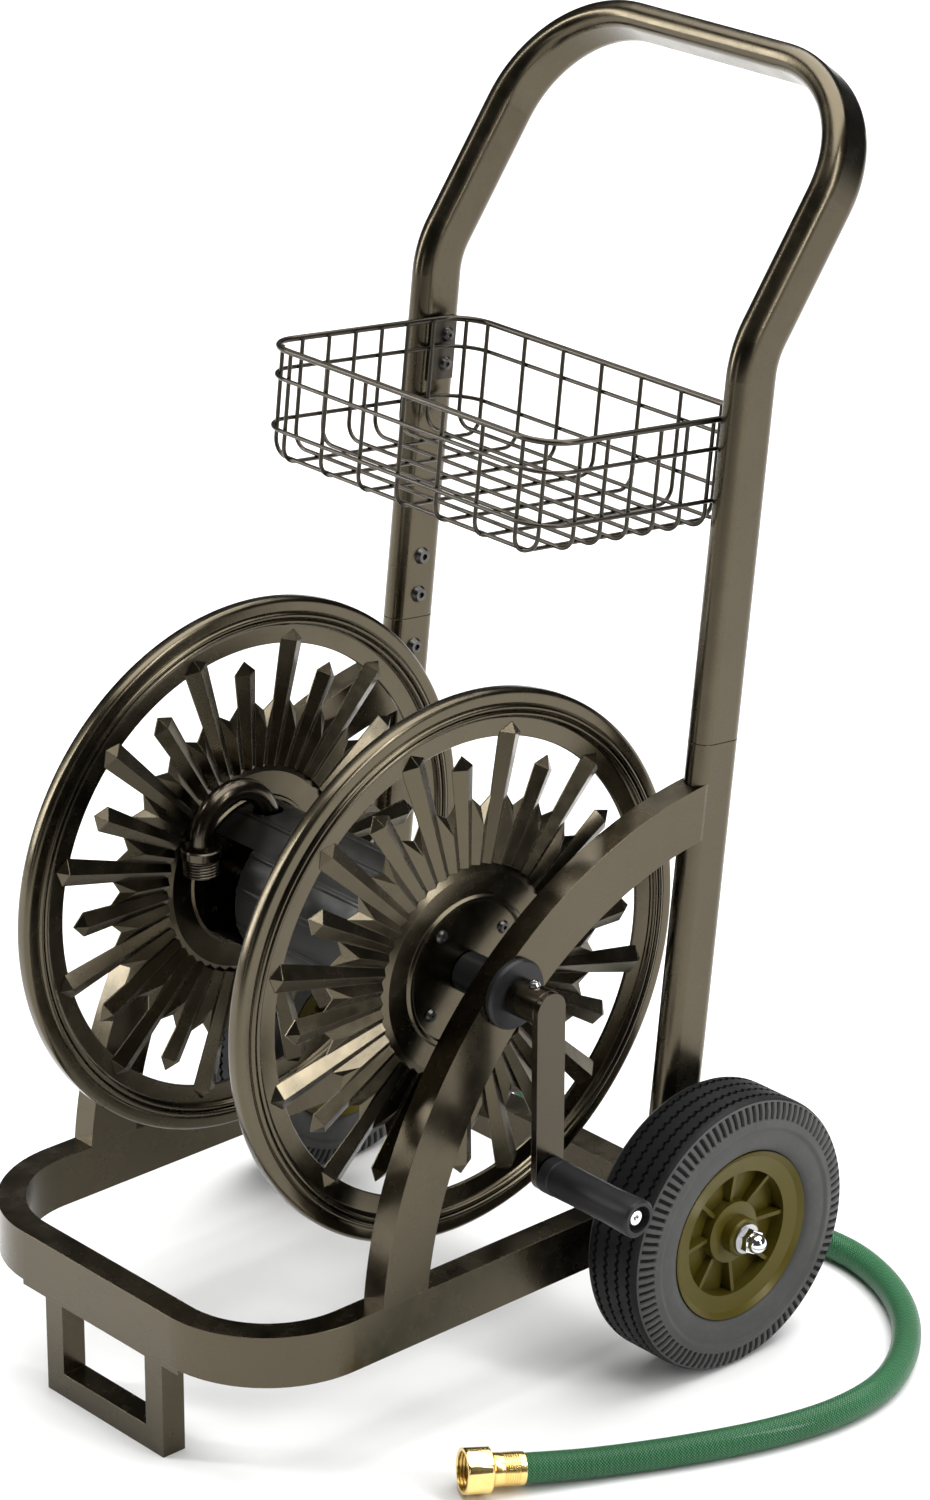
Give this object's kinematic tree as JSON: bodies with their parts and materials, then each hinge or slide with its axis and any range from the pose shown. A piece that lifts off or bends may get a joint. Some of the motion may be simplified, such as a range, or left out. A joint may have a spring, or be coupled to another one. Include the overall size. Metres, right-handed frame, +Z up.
{
  "type": "garden hose reel cart",
  "caption": "Two-wheeled steel garden hose reel cart with sunburst reel flanges, crank, leader hose and wire basket.",
  "frame": {"origin": "on the ground under the middle of the front foot", "axes": "+X towards the crank, +Y from the foot to the wheels, +Z up"},
  "size_m": [0.6053, 0.5903, 0.8914],
  "materials": {
    "frame_paint": "dark bronze metallic powder coat, fine grain",
    "basket_paint": "dark bronze dipped wire",
    "sleeve_steel": "zinc-plated steel",
    "screw_black": "black-finished steel",
    "chrome_parts": "bright plated",
    "flange_bronze": "dark bronze coat on cast and pressed aluminium",
    "drum_black": "black moulded plastic",
    "pipe_bronze": "dark bronze coat on steel pipe",
    "bearing_plastic": "dark grey nylon",
    "wheel_plastic": "olive metallic",
    "tyre_rubber": "black rubber, greyed side walls",
    "grip_plastic": "black",
    "brass_parts": "turned brass, slightly dulled",
    "seal_rubber": "black",
    "hose_rubber": "green with a pale braid under a clear skin"
  },
  "bodies": {
    "cart_frame": {"base_loop": "frame_paint", "rear_crossbar": "frame_paint", "front_foot": "frame_paint", "foot_plate": "frame_paint", "side_arch_left": "frame_paint", "side_arch_right": "frame_paint", "upright_left": "frame_paint", "upright_right": "frame_paint", "handle_tube": "frame_paint", "basket": "basket_paint", "basket_bracket_left": "basket_paint", "basket_bracket_right": "basket_paint", "joint_sleeve_left": "sleeve_steel", "joint_sleeve_right": "sleeve_steel", "wheel_axle": "sleeve_steel", "axle_spacers": "sleeve_steel", "axle_washers": "sleeve_steel", "handle_screws": "screw_black", "basket_screws": "screw_black", "foot_screws": "screw_black", "acorn_nuts": "chrome_parts", "crank_bearing": "bearing_plastic", "inlet_housing": "brass_parts", "inlet_port": "brass_parts", "inlet_locknut": "brass_parts", "coupling_nut_inlet": "brass_parts", "hose_ferrule_inlet": "brass_parts", "hose_ferrule_outlet": "brass_parts", "hose_tail_inlet": "brass_parts", "hose_tail_outlet": "brass_parts", "axle_seals": "seal_rubber", "hose_washer_inlet": "seal_rubber", "hose_washer_outlet": "seal_rubber", "leader_hose": "hose_rubber"},
    "wheel_left": {"tyre_left": "tyre_rubber", "rim_left": "wheel_plastic", "wheel_bush_left": "bearing_plastic"},
    "wheel_right": {"tyre_right": "tyre_rubber", "rim_right": "wheel_plastic", "wheel_bush_right": "bearing_plastic"},
    "reel": {"flange_rim_left": "flange_bronze", "flange_rim_right": "flange_bronze", "flange_star_left": "flange_bronze", "flange_star_right": "flange_bronze", "hub_disc_left": "flange_bronze", "hub_disc_right": "flange_bronze", "inner_disc_left": "flange_bronze", "inner_disc_right": "flange_bronze", "hub_screws": "screw_black", "reel_drum": "drum_black", "reel_axle": "pipe_bronze", "gooseneck": "pipe_bronze", "outlet_fitting": "pipe_bronze", "crank_arm": "pipe_bronze", "crank_set_screw": "chrome_parts", "grip_bolt": "chrome_parts", "grip_nut": "sleeve_steel"},
    "grip": {"crank_grip": "grip_plastic"},
    "hose_coupling": {"coupling_nut_outlet": "brass_parts"}
  },
  "joints": [
    {"name": "reel_spin", "type": "hinge", "parent": "cart_frame", "child": "reel", "pos_m": [0, 0.2143, 0.317], "axis": [1, 0, 0], "continuous": true},
    {"name": "grip_spin", "type": "hinge", "parent": "reel", "child": "grip", "pos_m": [0.25, 0.2143, 0.1955], "axis": [1, 0, 0], "continuous": true},
    {"name": "wheel_left_spin", "type": "hinge", "parent": "cart_frame", "child": "wheel_left", "pos_m": [-0.2079, 0.3735, 0.1016], "axis": [1, 0, 0], "continuous": true},
    {"name": "wheel_right_spin", "type": "hinge", "parent": "cart_frame", "child": "wheel_right", "pos_m": [0.2079, 0.3735, 0.1016], "axis": [1, 0, 0], "continuous": true},
    {"name": "coupling_spin", "type": "hinge", "parent": "cart_frame", "child": "hose_coupling", "pos_m": [0.2444, 0.126, 0.0173], "axis": [-0.4465, -0.8891, 0.1008], "continuous": true}
  ]
}
